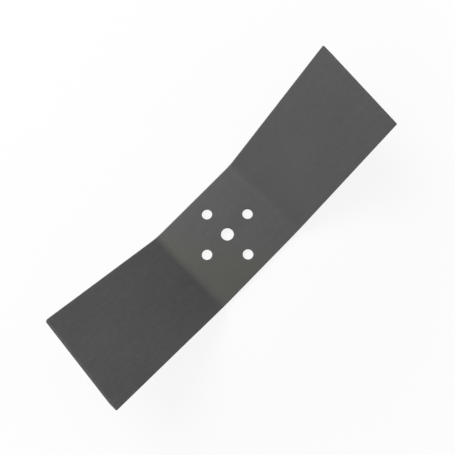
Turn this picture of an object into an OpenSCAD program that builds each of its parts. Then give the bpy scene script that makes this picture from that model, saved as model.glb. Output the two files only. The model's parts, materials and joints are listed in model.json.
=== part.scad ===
// Rotary mower blade, folded from one flat steel bar
// Millimetres, +Z up, with X along the blade and Y across it.
// The origin lies on the axis of the centre bore, on the underside of the flat hub.

/* [Bar] */
// Width of the flat bar
bar_width = 100; // [84:1:140]
// Thickness of the flat bar
bar_thickness = 5; // [3:0.5:8]
// Rounding of the bar's rolled edges
edge_radius = 0.8; // [0.2:0.1:1.2]

/* [Folds] */
// Distance between the two fold lines, measured on the upper face
fold_spacing = 108; // [100:1:160]
// Angle by which each wing rises from the hub
fold_angle = 34.91; // [10:0.01:60]
// Inside radius of each fold
fold_radius = 16; // [6:0.5:24]

/* [Wings] */
// Length of a wing's upper face, from the fold line to the middle of its end
wing_length = 149; // [80:1:220]
// Skew of the end cut, which leaves one long edge of each wing further out than the other
end_skew = 5.3; // [0:0.1:12]
// Length taken off along each edge where the two corners at the end of a wing are broken
corner_break = 1.2; // [0.4:0.1:6]

/* [Cutting edges] */
// Width of the bevel ground under the longer edge of each wing
bevel_width = 9; // [5:0.5:16]
// Thickness that grinding leaves at the cutting edge
edge_land = 1.5; // [1:0.1:2.5]
// Distance along a wing from the fold line to where the bevel has its full width
bevel_start = 60; // [40:1:70]
// Radius of the grinding wheel, which leaves a curved run-out
wheel_radius = 75; // [25:1:150]

/* [Holes] */
// Diameter of the centre bore
bore_d = 13.5; // [10:0.5:20]
// Diameter of each bolt hole
bolt_d = 11; // [8:0.5:14]
// Diameter of the circle that the bolt holes lie on
bolt_circle_d = 60; // [50:1:68]
// Number of bolt holes
bolt_count = 4; // [2:1:6]
// Chamfer round both mouths of each hole
hole_chamfer = 0.4; // [0.2:0.1:0.8]

/* [Hidden] */
$fn = 96;

// Dark satin grey of the rolled steel
steel_grey = "#5b5b5b";
// How far a cutting shape runs past the face that it cuts
overrun = 1;

half_width = bar_width / 2;
// Fillet along the bar's edges, limited by its thickness
edge_fillet = min(edge_radius, 0.45 * bar_thickness);
// Distance from a fold line to where the flat begins, on either side of the fold
fold_tangent = fold_radius * tan(fold_angle / 2);
// Length of the flat hub between the folds
hub_length = fold_spacing - 2 * fold_tangent;
// Length of a wing's flat part along its middle
wing_flat = wing_length - fold_tangent;
// Furthest that any wing corner lies from the end of its fold
wing_reach = wing_flat + half_width * tan(end_skew);
// Slope of the ground bevel
bevel_angle = atan((bar_thickness - edge_land) / bevel_width);

// Point on the end cut where a broken corner starts, on the side with y above (1) or below (-1) zero
function end_point(side) =
    [wing_flat, 0] + side * (half_width / cos(end_skew) - corner_break) * [sin(end_skew), cos(end_skew)];
// Point on the long edge where the same broken corner ends
function edge_point(side) =
    [wing_flat + side * half_width * tan(end_skew) - corner_break, side * half_width];
// The line through both points, carried on past the long edge
function past_edge(side) =
    let (run = edge_point(side) - end_point(side))
    edge_point(side) + run * overrun / abs(run.y);

// Rectangle with true arcs at its corners, centred on the origin
module rounded_rectangle(size, radius) {
    square([size.x - 2 * radius, size.y], center = true);
    square([size.x, size.y - 2 * radius], center = true);
    for (x = [-1, 1], y = [-1, 1])
        translate([x * (size.x / 2 - radius), y * (size.y / 2 - radius)])
            circle(r = radius);
}

// Straight length of bar from x = 0, lying on z = 0
module straight_bar(length) {
    rotate([90, 0, 90])
        linear_extrude(height = length)
            translate([0, bar_thickness / 2])
                rounded_rectangle([bar_width, bar_thickness], edge_fillet);
}

// Curved length of bar that turns the hub's +X end upwards
module fold() {
    translate([hub_length / 2, 0, bar_thickness + fold_radius])
        rotate([90, 90, 0])
            rotate_extrude(angle = fold_angle)
                translate([fold_radius + bar_thickness / 2, 0])
                    rounded_rectangle([bar_thickness, bar_width], edge_fillet);
}

// Moves a wing drawn flat from x = 0 to the raised end of the fold
module at_fold_end() {
    translate([hub_length / 2, 0, bar_thickness + fold_radius])
        rotate([0, -fold_angle, 0])
            translate([0, 0, -bar_thickness - fold_radius])
                children();
}

// Plan of a wing's skewed end with its broken corners, running past the bar on its other sides
module wing_plan() {
    polygon([
        [-overrun, -half_width - overrun],
        past_edge(-1),
        end_point(-1),
        end_point(1),
        past_edge(1),
        [-overrun, half_width + overrun]
    ]);
}

// Side view of the ground-away metal, level from x = 0 and curved below it where the wheel lifts
module wheel_path() {
    translate([0, -wheel_radius])
        circle(r = wheel_radius);
    translate([0, -wheel_radius])
        square([wing_reach, wheel_radius]);
}

// Metal that grinding takes from the underside, sloping up to the cutting edge
module grinding_cut() {
    cut_reach = bevel_width / cos(bevel_angle) + overrun;
    translate([bevel_start - fold_tangent, half_width - bevel_width, 0])
        rotate([bevel_angle, 0, 0])
            translate([0, cut_reach, 0])
                rotate([90, 0, 0])
                    linear_extrude(height = cut_reach)
                        wheel_path();
}

// Flat wing with its rolled edges, skewed end and ground edge, drawn from x = 0
module flat_wing() {
    difference() {
        intersection() {
            straight_bar(wing_reach + overrun);
            translate([0, 0, -overrun])
                linear_extrude(height = bar_thickness + 2 * overrun)
                    wing_plan();
        }
        grinding_cut();
    }
}

// Whole bar before drilling, one half of it turned half a circle to make the other
module folded_bar() {
    for (turn = [0, 180])
        rotate([0, 0, turn]) {
            straight_bar(hub_length / 2);
            fold();
            at_fold_end() flat_wing();
        }
}

// Hole through the hub, chamfered at both mouths
module hub_hole(diameter) {
    cone_height = hole_chamfer + overrun;
    mouth_d = diameter + 2 * cone_height;
    translate([0, 0, -overrun]) {
        cylinder(d = diameter, h = bar_thickness + 2 * overrun);
        cylinder(d1 = mouth_d, d2 = diameter, h = cone_height);
    }
    translate([0, 0, bar_thickness - hole_chamfer])
        cylinder(d1 = diameter, d2 = mouth_d, h = cone_height);
}

// The blade: the folded bar with its centre bore and its ring of bolt holes
module blade() {
    color(steel_grey)
        difference() {
            folded_bar();
            hub_hole(bore_d);
            for (hole = [0 : bolt_count - 1])
                rotate([0, 0, hole * 360 / bolt_count])
                    translate([bolt_circle_d / 2, 0, 0])
                        hub_hole(bolt_d);
        }
}

blade();
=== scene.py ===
import json
import math

import bmesh
import bpy
import numpy as np
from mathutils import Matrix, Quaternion, Vector


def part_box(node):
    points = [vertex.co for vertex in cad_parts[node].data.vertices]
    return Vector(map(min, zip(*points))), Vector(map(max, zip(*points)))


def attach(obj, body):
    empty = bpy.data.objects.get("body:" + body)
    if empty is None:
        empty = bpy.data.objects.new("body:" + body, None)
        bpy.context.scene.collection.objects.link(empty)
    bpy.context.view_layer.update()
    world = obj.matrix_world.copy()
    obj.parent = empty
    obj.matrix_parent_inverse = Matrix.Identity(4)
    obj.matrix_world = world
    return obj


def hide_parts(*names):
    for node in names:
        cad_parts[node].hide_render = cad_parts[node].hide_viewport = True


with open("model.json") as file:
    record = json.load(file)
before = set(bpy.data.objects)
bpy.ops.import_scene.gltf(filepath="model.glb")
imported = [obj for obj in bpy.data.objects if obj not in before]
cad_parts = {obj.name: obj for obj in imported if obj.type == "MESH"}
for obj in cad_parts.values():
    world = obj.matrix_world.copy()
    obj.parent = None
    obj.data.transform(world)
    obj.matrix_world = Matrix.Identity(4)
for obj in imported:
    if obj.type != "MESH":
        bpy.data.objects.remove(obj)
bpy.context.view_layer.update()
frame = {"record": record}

# Blade
# One length of hot rolled flat bar in spring steel. It is sheared to skewed ends, drilled for its
# spindle, folded up twice in a press, hardened, and then ground under its two cutting edges.
# The dark satin scale of rolling and hardening is its only finish, and bolts hold it by its hub.
MM = 0.001
mounts = {mount["name"]: mount for mount in frame["record"]["mounts"]}
lowest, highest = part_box("blade")
half_width = (highest.y - lowest.y) / 2
thickness = mounts["flange_face"]["pos_m"][2] - mounts["underside"]["pos_m"][2]
bore_radius = mounts["centre_bore"]["dims"]["r_mm"] * MM
bolt_radius = mounts["hub_bolts"]["dims"]["hole_r_mm"] * MM
bolt_circle_radius = mounts["hub_bolts"]["dims"]["pcd_mm"] * MM / 2
hole_chamfer = 0.4 * MM
edge_radius = 0.8 * MM
corner_radius = 1.1 * MM
fold_spacing = 108 * MM
fold_radius = 16 * MM
fold_angle = math.radians(34.91)
wing_length = 149 * MM
skew_tangent = math.tan(math.radians(5.3))
bevel_width = 9 * MM
edge_land = 1.5 * MM
bevel_start = 60 * MM
wheel_radius = 75 * MM
# What working the bar leaves: the shear's rolled edge and slant, the folds' swollen sides, and waves
shear_roll_depth = 0.55 * MM
shear_slant = 0.3 * MM
fold_swell = 0.15 * MM
lower_draw = 0.6
side_power = 8
wing_wave = 0.12 * MM
# A wing's long and short waves: how many there are, their lean in radians for each metre across, their
# parts of the height, and the short one's shift in radians
long_count = 1.15
long_lean = 22
long_part = 0.7
short_count = 2.55
short_lean = 31
short_part = 0.3
short_shift = 1.2

# The bar is drawn flat first, with its length measured along the middle of its thickness
fold_tangent = fold_radius * math.tan(fold_angle / 2)
hub_half = fold_spacing / 2 - fold_tangent
fold_length = (fold_radius + thickness / 2) * fold_angle
fold_end = hub_half + fold_length
fold_middle = (hub_half + fold_end) / 2
swell_length = 0.6 * fold_length
wing_flat = wing_length - fold_tangent
tip = fold_end + wing_flat
bevel_line = half_width - bevel_width
bevel_full = fold_end + bevel_start - fold_tangent
bevel_slope = math.atan2(thickness - edge_land, bevel_width)
# Each hole lies in a square cell of the bar's grid, and the bolt holes' cells end at the bevel's line
cell = bevel_line - bolt_circle_radius
holes = [(0, 0, bore_radius)]
holes += [(x * bolt_circle_radius, y * bolt_circle_radius, bolt_radius)
          for x, y in ((1, 0), (0, 1), (-1, 0), (0, -1))]
merge_distance = 0.002 * MM
sharp_angle = math.radians(18)


def stretches(stops, steps):
    """Rising stations through the stops, with steps[i] equal steps from stop i to the next."""
    spans = [np.linspace(low, high, count, endpoint=False)
             for low, high, count in zip(stops[:-1], stops[1:], steps)]
    return np.append(np.concatenate(spans), stops[-1])


def both_ways(half):
    """Stations from the middle to one end, carried on in mirror image to the other end."""
    return np.concatenate([-half[:0:-1], half])


def run_out_place(across):
    """Place along the bar, before its skew, where the bevel's run-out crosses a line across it.

    The wheel's rise there is the sine of the bevel's slope times the distance past the bevel's line. The
    place falls short of the full bevel by the root of the rise times the wheel's diameter less the rise.
    Division by one plus the skew's shift for each length of wing takes the skew away.
    """
    rise = (across - bevel_line) * math.sin(bevel_slope)
    short = np.sqrt(rise * (2 * wheel_radius - rise))
    return fold_end + (bevel_full - short - fold_end) / (1 + across * skew_tangent / wing_flat)


def quads(rows, columns, closed=False):
    """Corner numbers of a grid's quads, row by row; a closed grid joins its last row to its first."""
    numbers = np.arange(rows * columns).reshape(rows, columns)
    if closed:
        numbers = np.vstack([numbers, numbers[:1]])
    corners = [numbers[:-1, :-1], numbers[1:, :-1], numbers[1:, 1:], numbers[:-1, 1:]]
    return np.stack(corners, axis=-1).reshape(-1, 4)


def border(grid):
    """A grid's outline, once round against the clock from its first corner."""
    return np.concatenate([grid[:-1, 0], grid[-1, :-1], grid[:0:-1, -1], grid[0, :0:-1]])


def round_corners(along, across):
    """Presses the grid's square corners into quarter discs.

    A point has a share from 0 to 1 of the corner square each way. Each share is multiplied by the root of
    one less half the square of the other share, so the corner's two outer sides land on the circle.
    """
    reach = corner_radius - edge_radius
    along_share = np.clip((np.abs(along) - tip + corner_radius) / reach, 0, 1)
    across_share = np.clip((np.abs(across) - half_width + corner_radius) / reach, 0, 1)
    pressed_along = reach * along_share * (1 - np.sqrt(1 - across_share ** 2 / 2))
    pressed_across = reach * across_share * (1 - np.sqrt(1 - along_share ** 2 / 2))
    rounded_along = along - np.sign(along) * pressed_along
    rounded_across = across - np.sign(across) * pressed_across
    return np.stack([rounded_along, rounded_across], axis=-1)


# The stations crowd towards the bevel's line, and those along the run-out follow from those across it,
# so that the run-out's rim passes from corner to corner through the grid
over_holes = stretches([0, cell, bolt_circle_radius - cell, bevel_line], [8, 4, 16])
over_bevel = bevel_line + (half_width - corner_radius - bevel_line) * np.linspace(0, 1, 15)[1:] ** 2
over_corner = np.linspace(half_width - corner_radius, half_width - edge_radius, 5)[1:]
across_half = np.concatenate([over_holes, over_bevel, over_corner])
run_out = run_out_place(np.append(across_half[over_holes.size - 1:], half_width))[::-1]
to_run_out = stretches([bevel_line, hub_half, fold_end, run_out[0]], [5, 24, 10])[1:-1]
to_tip = stretches([run_out[-1], tip - corner_radius, tip - edge_radius], [32, 4])[1:]
along_stations = both_ways(np.concatenate([over_holes, to_run_out, run_out, to_tip]))
across_stations = both_ways(across_half)
square_grid = np.stack(np.meshgrid(along_stations, across_stations, indexing="ij"), axis=-1)
face_grid = round_corners(square_grid[..., 0], square_grid[..., 1])
face_edge = np.array([tip, half_width]) - edge_radius
to_edge = (face_edge - np.abs(face_grid)).min(axis=-1)
middles = (square_grid[:-1, :-1] + square_grid[1:, 1:]) / 2
hole_centres = np.array([hole[:2] for hole in holes])
from_holes = np.abs(middles[:, :, None] - hole_centres).max(axis=-1)
solid_quads = (from_holes > cell).all(axis=-1).reshape(-1)

bar = {"points": [], "quads": [], "triangles": [], "edge_distance": [], "sheared": [], "drilled": []}


def add_sheet(grid, corners, split=False, edge_distance=0.0, sheared=0.0, drilled=0.0):
    """Adds a grid of points to the bar with its quads, or with each quad split from corner 1 to corner 3."""
    start = sum(map(len, bar["points"]))
    bar["points"].append(grid.reshape(-1, 3))
    if split:
        bar["triangles"].append(start + corners[:, [0, 1, 3, 1, 2, 3]].reshape(-1, 3))
    else:
        bar["quads"].append(start + corners)
    for name, value in (("edge_distance", edge_distance), ("sheared", sheared), ("drilled", drilled)):
        bar[name].append(np.broadcast_to(value, grid.shape[:2]).reshape(-1))


for height in (0, thickness):
    grid = np.dstack([face_grid, np.full(face_grid.shape[:2], height)])
    add_sheet(grid, quads(*grid.shape[:2])[solid_quads], split=height == 0, edge_distance=to_edge)


def hole_face(hole, height, shares=1 - np.linspace(1, 0, 9) ** 1.6):
    """Flat ring from a hole's square cell to its mouth.

    A point is the cell's outline moved towards the mouth's circle by a share that grows faster at first,
    so the rings lie closest at the mouth.
    """
    centre = np.array(hole[:2])
    columns = np.abs(along_stations - centre[0]) < cell + merge_distance
    rows = np.abs(across_stations - centre[1]) < cell + merge_distance
    ways = border(square_grid[columns][:, rows]) - centre
    circle = ways / np.linalg.norm(ways, axis=-1, keepdims=True) * (hole[2] + hole_chamfer)
    flat = centre + ways[:, None] + shares[None, :, None] * (circle - ways)[:, None]
    return np.dstack([flat, np.full(flat.shape[:2], height)])


def hole_wall(mouth, hole, wall_steps=6):
    """Wall of a drilled hole: the mouth's ring stepped in by the chamfer, down, and out again."""
    ways = mouth - np.array(hole[:2])
    ways = ways / np.linalg.norm(ways, axis=-1, keepdims=True)
    steps_in = np.concatenate([[0], np.full(wall_steps + 1, hole_chamfer), [0]])
    wall_heights = np.linspace(thickness - hole_chamfer, hole_chamfer, wall_steps + 1)
    heights = np.concatenate([[thickness], wall_heights, [0]])
    flat = mouth[:, None] - steps_in[None, :, None] * ways[:, None]
    return np.dstack([flat, np.broadcast_to(heights, flat.shape[:2])])


for hole in holes:
    for height in (0, thickness):
        grid = hole_face(hole, height)
        from_mouth = np.linalg.norm(grid[..., :2] - hole[:2], axis=-1) - hole[2] - hole_chamfer
        add_sheet(grid, quads(*grid.shape[:2], closed=True), edge_distance=from_mouth)
    wall = hole_wall(grid[:, -1, :2], hole)
    add_sheet(wall, quads(*wall.shape[:2], closed=True), drilled=1.0)


def bar_rim(outline, arc_steps=6, side_steps=6):
    """Side of the bar, carried round the outline of its faces, and its share of sheared end.

    Along the rolled sides the profile is two quarter circles and a straight between them. At the sheared
    ends it rolls over above, stands straight to half depth, leans in below and goes in under the end. The
    end's share is how far the outline's normal points along the bar, so one turns into the other.
    """
    core = np.array([tip, half_width]) - corner_radius
    normals = outline - np.clip(outline, -core, core)
    normals = normals / np.linalg.norm(normals, axis=-1, keepdims=True)
    turn = np.linspace(0, math.pi / 2, arc_steps + 1)
    side = np.linspace(0, 1, side_steps + 1)[1:-1]
    rolled_out = edge_radius * np.concatenate([np.sin(turn), np.ones(side.size), np.cos(turn)])
    rolled_depth = np.concatenate([
        edge_radius * (1 - np.cos(turn)),
        edge_radius + side * (thickness - 2 * edge_radius),
        thickness - edge_radius * (1 - np.sin(turn))])
    torn_side = shear_roll_depth + side * (thickness - shear_roll_depth)
    torn_depth = np.concatenate([
        shear_roll_depth * (1 - np.cos(turn)), torn_side, np.full(turn.size, thickness)])
    torn_out = np.concatenate([
        edge_radius * np.sin(turn),
        edge_radius - shear_slant * np.clip(2 * torn_side / thickness - 1, 0, 1),
        (edge_radius - shear_slant) * (1 - turn / turn[-1])])
    end_share = np.abs(normals[:, :1])
    out = rolled_out + end_share * (torn_out - rolled_out)
    depth = rolled_depth + end_share * (torn_depth - rolled_depth)
    flat = outline[:, None] + out[..., None] * normals[:, None]
    return np.dstack([flat, thickness - depth]), end_share


rim, end_share = bar_rim(border(face_grid))
add_sheet(rim, quads(*rim.shape[:2], closed=True), sheared=end_share)


def skewed(flat):
    """Slants the wings towards their ends: a point moves along by its share of the wing times its
    distance across times the tangent of the skew, the other way round on the other wing."""
    along, across, height = flat.T
    share = np.clip((np.abs(along) - fold_end) / wing_flat, 0, None)
    return np.stack([along + across * skew_tangent * share, across, height], axis=-1)


def ground_height(flat):
    """Height up to which grinding takes metal from below.

    It is the bevel's slope times the distance past the bevel's line, less the rise of the wheel's circle
    where the bevel runs out, over the cosine of the slope. Both wings have it on their longer edge.
    """
    along, across, _ = flat.T
    inward = np.sign(along) * across - bevel_line
    before = np.clip(bevel_full - np.abs(along), 0, wheel_radius)
    rise = wheel_radius - np.sqrt(wheel_radius ** 2 - before ** 2)
    return inward * math.tan(bevel_slope) - rise / math.cos(bevel_slope)


def worked(flat):
    """Leaves the marks of forming on the bar.

    Its sides draw in by the swell, except at the folds, where a bell curve lets the squeezed upper edge
    out and draws the stretched lower edge further in. A high power of the share across keeps this to the
    sides. The wings are raised by a long and a short wave that lean across them, and the square of a sine
    makes both die out at the wing's two ends.
    """
    along, across, height = flat.T
    at_fold = np.exp(-((np.abs(along) - fold_middle) / swell_length) ** 2)
    squeeze = at_fold * np.interp(height, [0, thickness], [-lower_draw, 1])
    near_side = (np.abs(across) / half_width) ** side_power
    drawn_in = across - np.sign(across) * fold_swell * (1 - squeeze) * near_side
    share = np.clip((np.abs(along) - fold_end) / wing_flat, 0, 1)
    long_wave = np.sin(2 * math.pi * long_count * share + np.sign(along) * long_lean * across)
    short_wave = np.sin(2 * math.pi * short_count * share + short_lean * across + short_shift)
    both_waves = long_part * long_wave + short_part * short_wave
    wave = wing_wave * np.sin(math.pi * share) ** 2 * both_waves
    return np.stack([along, drawn_in, height + wave], axis=-1)


def folded(flat):
    """Carries the flat bar round its folds.

    A point stays where it is over the hub, turns about the fold's axis at the inside radius plus its
    depth below the upper face, and goes on straight along the wing beyond the fold's end.
    """
    along, across, height = flat.T
    reach = np.abs(along)
    turn = fold_angle * np.clip((reach - hub_half) / fold_length, 0, 1)
    beyond = np.maximum(reach - fold_end, 0)
    radius = fold_radius + thickness - height
    out = np.minimum(reach, hub_half) + radius * np.sin(turn) + beyond * np.cos(turn)
    up = thickness + fold_radius - radius * np.cos(turn) + beyond * np.sin(turn)
    return np.stack([np.sign(along) * out, across, up], axis=-1)


bar_quads = np.concatenate(bar["quads"])
bar_triangles = np.concatenate(bar["triangles"])
used, corners = np.unique(np.append(bar_quads, bar_triangles), return_inverse=True)
blade_faces = corners[:bar_quads.size].reshape(-1, 4).tolist()
blade_faces += corners[bar_quads.size:].reshape(-1, 3).tolist()
flat_bar = skewed(np.concatenate(bar["points"])[used])
flat_bar[:, 2] = np.maximum(flat_bar[:, 2], ground_height(flat_bar))

mesh = bpy.data.meshes.new("mower_blade")
mesh.from_pydata(folded(worked(flat_bar)), [], blade_faces)
developed = mesh.attributes.new("developed", "FLOAT_VECTOR", "POINT")
developed.data.foreach_set("vector", flat_bar.astype(np.float32).reshape(-1))
layers = {name: np.concatenate(bar[name])[used] for name in ("edge_distance", "sheared", "drilled")}
layers["above_grinding"] = flat_bar[:, 2] - ground_height(flat_bar)
for name, values in layers.items():
    layer = mesh.attributes.new(name, "FLOAT", "POINT")
    layer.data.foreach_set("value", values.astype(np.float32))
shell = bmesh.new()
shell.from_mesh(mesh)
bmesh.ops.remove_doubles(shell, verts=shell.verts, dist=merge_distance)
bmesh.ops.dissolve_degenerate(shell, edges=shell.edges, dist=merge_distance)
bmesh.ops.recalc_face_normals(shell, faces=shell.faces)
shell.to_mesh(mesh)
shell.free()
mesh.shade_smooth()
mesh.set_sharp_from_angle(angle=sharp_angle)
mower_blade = bpy.data.objects.new("mower_blade", mesh)
bpy.context.scene.collection.objects.link(mower_blade)

steel = bpy.data.materials.new("scaled_spring_steel")
steel.use_nodes = True
steel_tree = steel.node_tree
steel_shader = steel_tree.nodes["Principled BSDF"]


def add_node(tree, kind, inputs, **settings):
    """Adds a node with its settings and inputs; an input is a plain value or the output that feeds it."""
    node = tree.nodes.new(kind)
    for name, value in settings.items():
        setattr(node, name, value)
    for socket, value in inputs.items():
        if isinstance(value, bpy.types.NodeSocket):
            tree.links.new(value, node.inputs[socket])
        else:
            node.inputs[socket].default_value = value
    return node


def steel_layer(name, output="Fac"):
    """One of the blade's own layers, as a value or as a vector."""
    return add_node(steel_tree, "ShaderNodeAttribute", {}, attribute_name=name).outputs[output]


def steel_math(operation, *values):
    """Output of a math node with the given inputs."""
    return add_node(steel_tree, "ShaderNodeMath", dict(enumerate(values)), operation=operation).outputs[0]


def steel_range(value, low, high, to_low=0.0, to_high=1.0):
    """Value carried in a straight line from one range to another, and held at its ends."""
    inputs = {"Value": value, "From Min": low, "From Max": high, "To Min": to_low, "To Max": to_high}
    return add_node(steel_tree, "ShaderNodeMapRange", inputs).outputs[0]


def steel_sum(level, parts):
    """Level plus, for each pair of an output and a weight, the weight times the output less one half."""
    total = level - sum(weight for _, weight in parts) / 2
    for output, weight in parts:
        total = steel_math("MULTIPLY_ADD", output, weight, total)
    return total


def steel_mix(share, first, second):
    """Colour that goes from the first to the second by the share."""
    return add_node(steel_tree, "ShaderNodeMix", {0: share, 6: first, 7: second}, data_type="RGBA").outputs[2]


flat_place = steel_layer("developed", "Vector")
flat_axes = add_node(steel_tree, "ShaderNodeSeparateXYZ", {0: flat_place}).outputs


def steel_patches(size, turn=0.0):
    """Place on the flat bar, counted in patches of a size in millimetres along, across and through it."""
    inputs = {"Vector": flat_place, "Rotation": (0, 0, turn), "Scale": Vector(size) * MM}
    return add_node(steel_tree, "ShaderNodeMapping", inputs, vector_type="TEXTURE").outputs[0]


def steel_noise(size, detail=3.0, roughness=0.55, turn=0.0):
    """Soft noise in patches of the given size."""
    inputs = {"Vector": steel_patches(size, turn), "Scale": 1.0, "Detail": detail, "Roughness": roughness}
    return add_node(steel_tree, "ShaderNodeTexNoise", inputs).outputs[0]


# Rolling and hardening scale: slow clouds, mottling, streaks along the rolling direction, fine flakes and
# grit, and a faint olive cast on the hub's -X end, which reaches further along the bar on the -Y side
dark_scale = (0.053, 0.053, 0.053, 1)
light_scale = (0.087, 0.087, 0.087, 1)
olive_scale = (0.0745, 0.0765, 0.0625, 1)
olive_share = 0.75
olive_end = hub_half + 13 * MM
olive_fade = 10 * MM
olive_slant = 0.65
olive_border = -8 * MM
olive_full = -32 * MM
clouds = steel_noise((70, 38, 38), detail=4.0)
mottle = steel_noise((6.5, 5.2, 5.2), detail=5.0, roughness=0.6)
streaks = steel_noise((110, 1.9, 1.9))
grit = steel_noise((0.42, 0.42, 0.42), detail=2.0)
flake_inputs = {"Vector": steel_patches((3.6, 2.8, 2.8)), "Scale": 1.0, "Detail": 1.0}
flakes = add_node(steel_tree, "ShaderNodeTexVoronoi", flake_inputs).outputs["Color"]
tone = steel_sum(0.475, [(clouds, 0.4), (mottle, 0.5), (streaks, 0.45), (flakes, 0.15), (grit, 0.3)])
colour = steel_mix(steel_range(tone, 0.1, 0.9), dark_scale, light_scale)
along_way = steel_math("ABSOLUTE", flat_axes[0])
slant_way = steel_math("MULTIPLY_ADD", flat_axes[1], olive_slant, flat_axes[0])
olive = steel_range(along_way, olive_end - olive_fade, olive_end, olive_share, 0.0)
olive = steel_math("MULTIPLY", olive, steel_range(slant_way, olive_full, olive_border, 1.0, 0.0))
olive = steel_math("MULTIPLY", olive, steel_range(clouds, 0.3, 0.55, 0.5, 1.0))
colour = steel_mix(olive, colour, olive_scale)

# Handling: worn edges, sparse scratches two ways across the bar, and pits where scale has come off
bare_steel = (0.30, 0.30, 0.295, 1)
pitted_scale = (0.035, 0.034, 0.033, 1)
wear_width = 1.2 * MM
wear_share = 0.12
scratch_share = 0.14
pit_share = 0.45
worn_edge = steel_range(steel_layer("edge_distance"), 0.0, wear_width, 1.0, 0.0)
worn_edge = steel_math("MULTIPLY", worn_edge, steel_range(mottle, 0.42, 0.68, 0.0, wear_share))
scratch_size = (34, 0.28, 0.28)
scratch_turns = (0.35, -0.9)
scratch_ways = [steel_noise(scratch_size, detail=1.0, turn=turn) for turn in scratch_turns]
scratches = steel_range(steel_math("MAXIMUM", *scratch_ways), 0.70, 0.78, 0.0, scratch_share)
pits = steel_range(steel_noise((1.3, 1.0, 1.0), detail=1.0), 0.70, 0.78)
colour = steel_mix(steel_math("MAXIMUM", worn_edge, scratches), colour, bare_steel)
colour = steel_mix(steel_math("MULTIPLY", pits, pit_share), colour, pitted_scale)

# Folding: below each fold the stretched scale has crazed, and the die's two shoulders have rubbed it
die_half = 20 * MM
rubbed_share = 0.16
underside = steel_range(flat_axes[2], 0.3 * thickness, 0.7 * thickness, 1.0, 0.0)
fold_way = steel_math("ABSOLUTE", steel_math("SUBTRACT", along_way, fold_middle))
crazing = steel_range(steel_noise((0.5, 9, 9), detail=2.0), 0.54, 0.66, 0.0, rubbed_share)
at_fold = steel_range(fold_way, 0.35 * fold_length, 0.7 * fold_length, 1.0, 0.0)
crazing = steel_math("MULTIPLY", crazing, at_fold)
die_way = steel_math("ABSOLUTE", steel_math("SUBTRACT", fold_way, die_half))
die_marks = steel_range(die_way, 0.2 * MM, 1.1 * MM, rubbed_share, 0.0)
die_marks = steel_math("MULTIPLY", die_marks, mottle)
fold_marks = steel_math("MULTIPLY", steel_math("MAXIMUM", crazing, die_marks), underside)
colour = steel_mix(fold_marks, colour, bare_steel)

# Sheared ends: a burnished band where the shear went in, and below it the dull grain of the fracture
burnished_steel = (0.062, 0.062, 0.060, 1)
torn_steel = (0.043, 0.042, 0.041, 1)
sheared = steel_layer("sheared")
tear_line = steel_math("MULTIPLY_ADD", mottle, 1.2 * MM, flat_axes[2])
tear_height = thickness / 2 + 0.6 * MM
fracture = steel_range(tear_line, tear_height - 0.1 * MM, tear_height + 0.1 * MM, 1.0, 0.0)
colour = steel_mix(sheared, colour, steel_mix(fracture, burnished_steel, torn_steel))
torn = steel_math("MULTIPLY", sheared, fracture)

# Drilled walls: rings left by the drill's lips
drilled_dark = (0.050, 0.049, 0.048, 1)
drilled_light = (0.105, 0.104, 0.101, 1)
drilled = steel_layer("drilled")
drill_rings = steel_noise((9, 9, 0.22), detail=2.0)
drilled_colour = steel_mix(steel_range(drill_rings, 0.35, 0.65), drilled_dark, drilled_light)
colour = steel_mix(drilled, colour, drilled_colour)

# Ground bevels: bright steel with the wheel's lines straight across the cutting edge
ground_dark = (0.24, 0.24, 0.235, 1)
ground_light = (0.38, 0.38, 0.375, 1)
ground = steel_range(steel_layer("above_grinding"), 0.002 * MM, 0.02 * MM, 1.0, 0.0)
grinding_lines = steel_noise((0.55, 25, 25))
ground_colour = steel_mix(steel_range(grinding_lines, 0.3, 0.7), ground_dark, ground_light)
colour = steel_mix(ground, colour, ground_colour)

# Gloss and relief: satin scale, a duller fracture, smoother and more metallic bevels, and fine bump
smooth_scale = 0.46
rough_scale = 0.58
fracture_dulling = 0.2
ground_smoothing = -0.14
scale_metallic = 0.3
ground_metallic = 0.9
scale_specular = 0.3
relief_height = 0.05 * MM
relief_strength = 0.45
pit_depth = 0.5
torn_grain = 3.0
sheen = steel_sum(0.5, [(streaks, 0.5), (mottle, 0.8), (flakes, 0.15)])
roughness = steel_range(sheen, 0.2, 0.8, smooth_scale, rough_scale)
roughness = steel_math("MULTIPLY_ADD", torn, fracture_dulling, roughness)
roughness = steel_math("MULTIPLY_ADD", ground, ground_smoothing, roughness)
metallic = steel_math("MULTIPLY_ADD", ground, ground_metallic - scale_metallic, scale_metallic)
relief = steel_sum(0.5, [(grit, 0.5), (mottle, 0.8), (streaks, 0.4), (flakes, 0.15)])
relief = steel_math("MULTIPLY_ADD", pits, -pit_depth, relief)
relief = steel_math("MULTIPLY_ADD", torn, steel_math("MULTIPLY", grit, torn_grain), relief)
relief = steel_math("MULTIPLY_ADD", drilled, drill_rings, relief)
relief = steel_math("MULTIPLY_ADD", ground, grinding_lines, relief)
bump = add_node(steel_tree, "ShaderNodeBump", {
    "Strength": relief_strength, "Distance": relief_height, "Height": relief})
steel_shader.inputs["Specular IOR Level"].default_value = scale_specular
for socket, output in (("Base Color", colour), ("Roughness", roughness), ("Metallic", metallic),
                       ("Normal", bump.outputs["Normal"])):
    steel_tree.links.new(output, steel_shader.inputs[socket])
mesh.materials.append(steel)
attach(mower_blade, "root")
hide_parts("blade")

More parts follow.
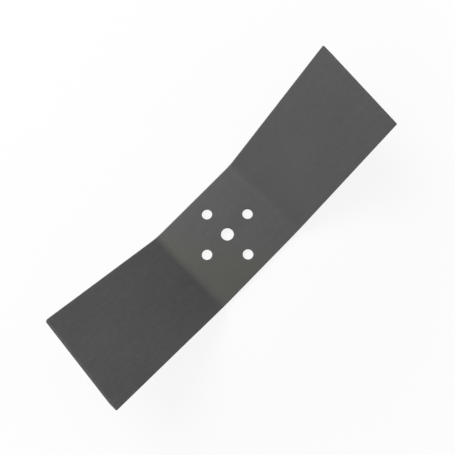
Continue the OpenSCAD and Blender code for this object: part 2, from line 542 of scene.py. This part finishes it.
# Floor
# A wide sheet of white paper that the blade lies on, white to the camera and clear from below.
# Near the blade, a small part of it takes the lamps' light, so that the blade's soft shadow shows.
floor_half = 4.0
floor_drop = 0.1 * MM
shadow_glow = 0.88
shadow_reach = 0.18
white_reach = 0.45
floor_stations = np.linspace(-floor_half, floor_half, 3)
floor_grid = np.dstack(np.meshgrid(floor_stations, floor_stations, indexing="ij"))
floor_points = np.dstack([floor_grid, np.full(floor_grid.shape[:2], lowest.z - floor_drop)])
floor_mesh = bpy.data.meshes.new("paper_floor")
floor_mesh.from_pydata(floor_points.reshape(-1, 3), [], quads(*floor_grid.shape[:2]))
floor = bpy.data.objects.new("paper_floor", floor_mesh)
bpy.context.scene.collection.objects.link(floor)
paper = bpy.data.materials.new("white_paper")
paper.use_nodes = True
paper_tree = paper.node_tree
paper_tree.nodes.clear()
white = (1, 1, 1, 1)
paper_white = (0.9, 0.9, 0.9, 1)


def seen_directly(tree):
    """Share 1 for rays from the camera, a reflection or clear glass, and 0 for rays that carry light."""
    light_path = add_node(tree, "ShaderNodeLightPath", {})
    shares = [light_path.outputs[name] for name in ("Is Camera Ray", "Is Glossy Ray", "Is Transmission Ray")]
    pair = add_node(tree, "ShaderNodeMath", {0: shares[0], 1: shares[1]}, operation="MAXIMUM").outputs[0]
    return add_node(tree, "ShaderNodeMath", {0: pair, 1: shares[2]}, operation="MAXIMUM").outputs[0]


paper_place = add_node(paper_tree, "ShaderNodeTexCoord", {}).outputs["Object"]
paper_way = add_node(paper_tree, "ShaderNodeVectorMath", {0: paper_place}, operation="LENGTH")
paper_glow = add_node(paper_tree, "ShaderNodeMapRange", {
    "Value": paper_way.outputs["Value"], "From Min": shadow_reach, "From Max": white_reach,
    "To Min": shadow_glow, "To Max": 1.0})
paper_share = add_node(paper_tree, "ShaderNodeMath", {
    0: seen_directly(paper_tree), 1: paper_glow.outputs[0]}, operation="MULTIPLY")
lit_paper = add_node(paper_tree, "ShaderNodeBsdfDiffuse", {"Color": paper_white})
glowing_paper = add_node(paper_tree, "ShaderNodeEmission", {"Color": white, "Strength": 1.0})
paper_top = add_node(paper_tree, "ShaderNodeMixShader", {
    0: paper_share.outputs[0], 1: lit_paper.outputs[0], 2: glowing_paper.outputs[0]})
from_below = add_node(paper_tree, "ShaderNodeNewGeometry", {}).outputs["Backfacing"]
clear_below = add_node(paper_tree, "ShaderNodeBsdfTransparent", {})
paper_sides = add_node(paper_tree, "ShaderNodeMixShader", {
    0: from_below, 1: paper_top.outputs[0], 2: clear_below.outputs[0]})
add_node(paper_tree, "ShaderNodeOutputMaterial", {"Surface": paper_sides.outputs[0]})
floor_mesh.materials.append(paper)

# Light
# A soft studio: a wide key lamp on the +Y side, a low lamp by the -X wing, a weak one across from it, one
# overhead, and a pale room all round. Together they light the hub so that a colour renders as written.
room_level = 0.2


def soft_lamp(name, place, size, power):
    """Square lamp of a size and power in watts at a place, turned to the hub."""
    lamp = bpy.data.lights.new(name, "AREA")
    lamp.size = size
    lamp.energy = power
    lamp_object = bpy.data.objects.new(name, lamp)
    lamp_object.location = place
    lamp_object.rotation_euler = (-Vector(place)).to_track_quat("-Z", "Y").to_euler()
    bpy.context.scene.collection.objects.link(lamp_object)


soft_lamp("key_lamp", (-0.05, 0.8, 1.0), 0.8, 11.8)
soft_lamp("side_lamp", (-1.5, 0.2, 0.95), 0.6, 5.1)
soft_lamp("fill_lamp", (1.1, 0.0, 1.2), 1.0, 2.1)
soft_lamp("top_lamp", (0.0, 0.0, 1.6), 1.6, 1.7)
world = bpy.data.worlds.new("pale_room")
bpy.context.scene.world = world
world.use_nodes = True
world_tree = world.node_tree
world_tree.nodes.clear()
room = add_node(world_tree, "ShaderNodeBackground", {"Color": white, "Strength": room_level})
backdrop = add_node(world_tree, "ShaderNodeBackground", {"Color": white, "Strength": 1.0})
world_mix = add_node(world_tree, "ShaderNodeMixShader", {
    0: seen_directly(world_tree), 1: room.outputs[0], 2: backdrop.outputs[0]})
add_node(world_tree, "ShaderNodeOutputWorld", {"Surface": world_mix.outputs[0]})
bpy.context.scene.view_settings.view_transform = "Standard"

# Camera
# It stands almost straight over the hub and leans a little, so that the blade runs from corner to corner.
camera_place = Vector((-54.28, -72.86, 587.47)) * MM
camera_aim = Vector((4.99, 4.64, 5.0)) * MM
camera_roll = math.radians(-8.14)
camera = bpy.data.cameras.new("camera")
camera.sensor_width = 36
camera.lens = 45.0
camera_object = bpy.data.objects.new("camera", camera)
camera_object.location = camera_place
upright = (camera_aim - camera_place).to_track_quat("-Z", "Y")
camera_object.rotation_euler = (upright @ Quaternion((0, 0, 1), camera_roll)).to_euler()
bpy.context.scene.collection.objects.link(camera_object)
bpy.context.scene.camera = camera_object
